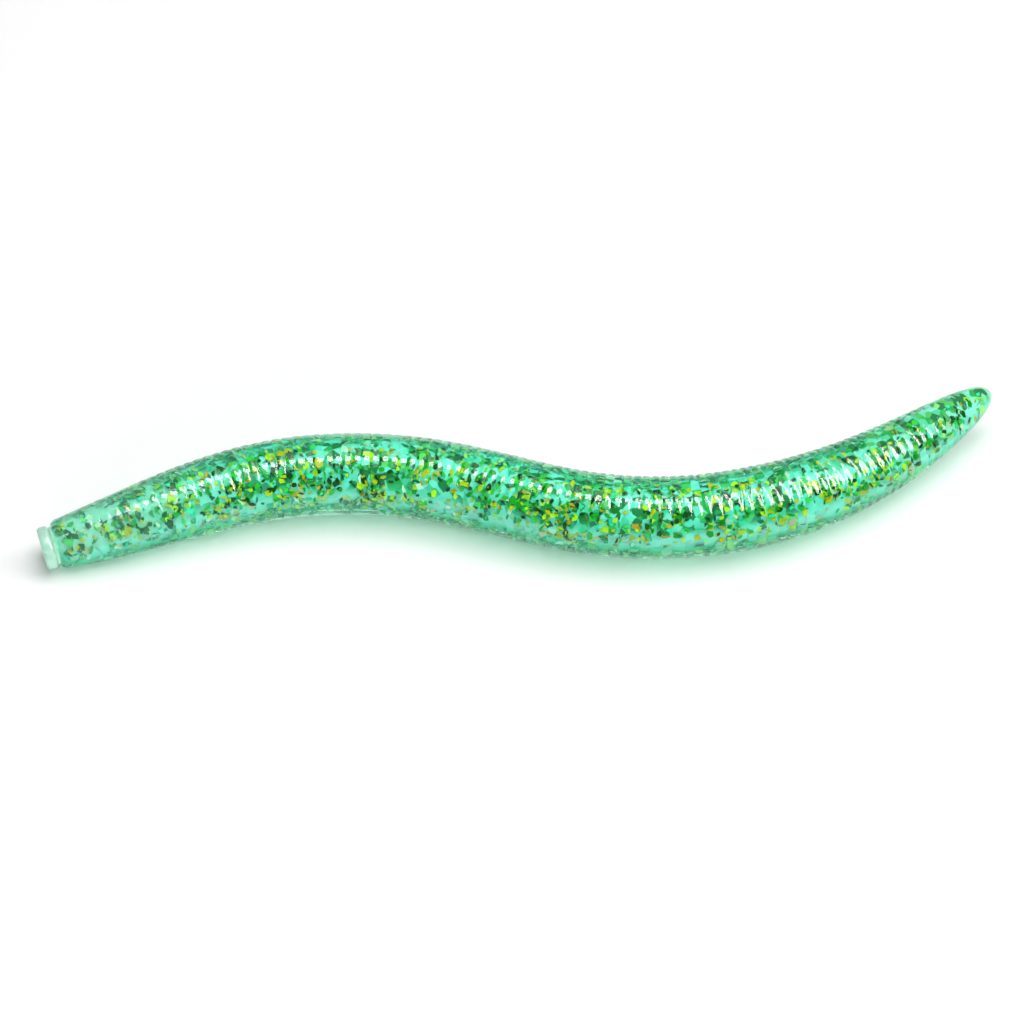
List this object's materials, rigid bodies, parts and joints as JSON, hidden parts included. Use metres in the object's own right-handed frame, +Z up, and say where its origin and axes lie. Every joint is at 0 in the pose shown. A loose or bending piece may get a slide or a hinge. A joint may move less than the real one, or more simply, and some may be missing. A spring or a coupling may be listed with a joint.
{
  "type": "soft plastic worm",
  "caption": "Ribbed soft plastic stick worm fishing lure, mint green with glitter flakes, lying in an S, flexing through its whole length.",
  "frame": {"origin": "under the middle of the worm as it lies, on the surface it lies on", "axes": "+X along the longest extent, from the head collar to the tail tip; +Z up, away from the surface; +Y to the side the tail curls towards"},
  "size_m": [0.1184, 0.0284, 0.0102],
  "materials": {
    "worm_plastic": "glossy soft plastisol, milky translucent mint green",
    "collar_plastic": "glossy soft plastisol, paler mint, no flakes",
    "green_film": "green metallised film",
    "gold_film": "gold metallised film",
    "pearl_film": "pearl film"
  },
  "bodies": {
    "head": {"head_collar": "collar_plastic", "head_section": "worm_plastic", "green_flakes_head": "green_film", "gold_flakes_head": "gold_film", "pearl_flakes_head": "pearl_film"},
    "front_1": {"front_1_section": "worm_plastic", "green_flakes_front_1": "green_film", "gold_flakes_front_1": "gold_film", "pearl_flakes_front_1": "pearl_film"},
    "front_2": {"front_2_section": "worm_plastic", "green_flakes_front_2": "green_film", "gold_flakes_front_2": "gold_film", "pearl_flakes_front_2": "pearl_film"},
    "front_3": {"front_3_section": "worm_plastic", "green_flakes_front_3": "green_film", "gold_flakes_front_3": "gold_film", "pearl_flakes_front_3": "pearl_film"},
    "front_4": {"front_4_section": "worm_plastic", "green_flakes_front_4": "green_film", "gold_flakes_front_4": "gold_film", "pearl_flakes_front_4": "pearl_film"},
    "front_5": {"front_5_section": "worm_plastic", "green_flakes_front_5": "green_film", "gold_flakes_front_5": "gold_film", "pearl_flakes_front_5": "pearl_film"},
    "middle": {"middle_section": "worm_plastic", "green_flakes_middle": "green_film", "gold_flakes_middle": "gold_film", "pearl_flakes_middle": "pearl_film"},
    "rear_1": {"rear_1_section": "worm_plastic", "green_flakes_rear_1": "green_film", "gold_flakes_rear_1": "gold_film", "pearl_flakes_rear_1": "pearl_film"},
    "rear_2": {"rear_2_section": "worm_plastic", "green_flakes_rear_2": "green_film", "gold_flakes_rear_2": "gold_film", "pearl_flakes_rear_2": "pearl_film"},
    "rear_3": {"rear_3_section": "worm_plastic", "green_flakes_rear_3": "green_film", "gold_flakes_rear_3": "gold_film", "pearl_flakes_rear_3": "pearl_film"},
    "rear_4": {"rear_4_section": "worm_plastic", "green_flakes_rear_4": "green_film", "gold_flakes_rear_4": "gold_film", "pearl_flakes_rear_4": "pearl_film"},
    "rear_5": {"rear_5_section": "worm_plastic", "green_flakes_rear_5": "green_film", "gold_flakes_rear_5": "gold_film", "pearl_flakes_rear_5": "pearl_film"},
    "tail": {"tail_section": "worm_plastic", "green_flakes_tail": "green_film", "gold_flakes_tail": "gold_film", "pearl_flakes_tail": "pearl_film"}
  },
  "joints": [
    {"name": "bend_head_front_1", "type": "hinge", "parent": "front_1", "child": "head", "pos_m": [-0.04875, -0.00839, 0.00396], "axis": [0, 0, -1], "range_deg": [-25, 25], "stiffness_Nm_per_rad": 0.00164},
    {"name": "lift_front_1_front_2", "type": "hinge", "parent": "front_2", "child": "front_1", "pos_m": [-0.03979, -0.00473, 0.00464], "axis": [-0.3939, 0.9192, 0], "range_deg": [0, 25], "stiffness_Nm_per_rad": 0.00309},
    {"name": "bend_front_2_front_3", "type": "hinge", "parent": "front_3", "child": "front_2", "pos_m": [-0.03057, -0.00183, 0.00499], "axis": [0, 0, -1], "range_deg": [-25, 25], "stiffness_Nm_per_rad": 0.00411},
    {"name": "bend_front_3_front_4", "type": "hinge", "parent": "front_4", "child": "front_3", "pos_m": [-0.02096, -0.00083, 0.00509], "axis": [0, 0, -1], "range_deg": [-25, 25], "stiffness_Nm_per_rad": 0.00448},
    {"name": "lift_front_4_front_5", "type": "hinge", "parent": "front_5", "child": "front_4", "pos_m": [-0.01134, -0.00178, 0.0051], "axis": [0.1972, 0.9804, 0], "range_deg": [0, 25], "stiffness_Nm_per_rad": 0.0045},
    {"name": "bend_front_5_middle", "type": "hinge", "parent": "middle", "child": "front_5", "pos_m": [-0.00206, -0.00449, 0.0051], "axis": [0, 0, -1], "range_deg": [-25, 25], "stiffness_Nm_per_rad": 0.0045},
    {"name": "bend_middle_rear_1", "type": "hinge", "parent": "middle", "child": "rear_1", "pos_m": [0.00718, -0.00735, 0.0051], "axis": [0, 0, 1], "range_deg": [-25, 25], "stiffness_Nm_per_rad": 0.0045},
    {"name": "lift_rear_1_rear_2", "type": "hinge", "parent": "rear_1", "child": "rear_2", "pos_m": [0.01679, -0.0084, 0.0051], "axis": [0.0035, -1, 0], "range_deg": [0, 25], "stiffness_Nm_per_rad": 0.0045},
    {"name": "bend_rear_2_rear_3", "type": "hinge", "parent": "rear_2", "child": "rear_3", "pos_m": [0.02638, -0.00728, 0.0051], "axis": [0, 0, 1], "range_deg": [-25, 25], "stiffness_Nm_per_rad": 0.0045},
    {"name": "bend_rear_3_rear_4", "type": "hinge", "parent": "rear_3", "child": "rear_4", "pos_m": [0.03549, -0.00408, 0.0051], "axis": [0, 0, 1], "range_deg": [-25, 25], "stiffness_Nm_per_rad": 0.00375},
    {"name": "lift_rear_4_rear_5", "type": "hinge", "parent": "rear_4", "child": "rear_5", "pos_m": [0.04383, 0.00081, 0.0051], "axis": [0.5838, -0.8119, 0], "range_deg": [0, 25], "stiffness_Nm_per_rad": 0.00228},
    {"name": "bend_rear_5_tail", "type": "hinge", "parent": "rear_5", "child": "tail", "pos_m": [0.05139, 0.00686, 0.0051], "axis": [0, 0, 1], "range_deg": [-25, 25], "stiffness_Nm_per_rad": 0.00086}
  ]
}
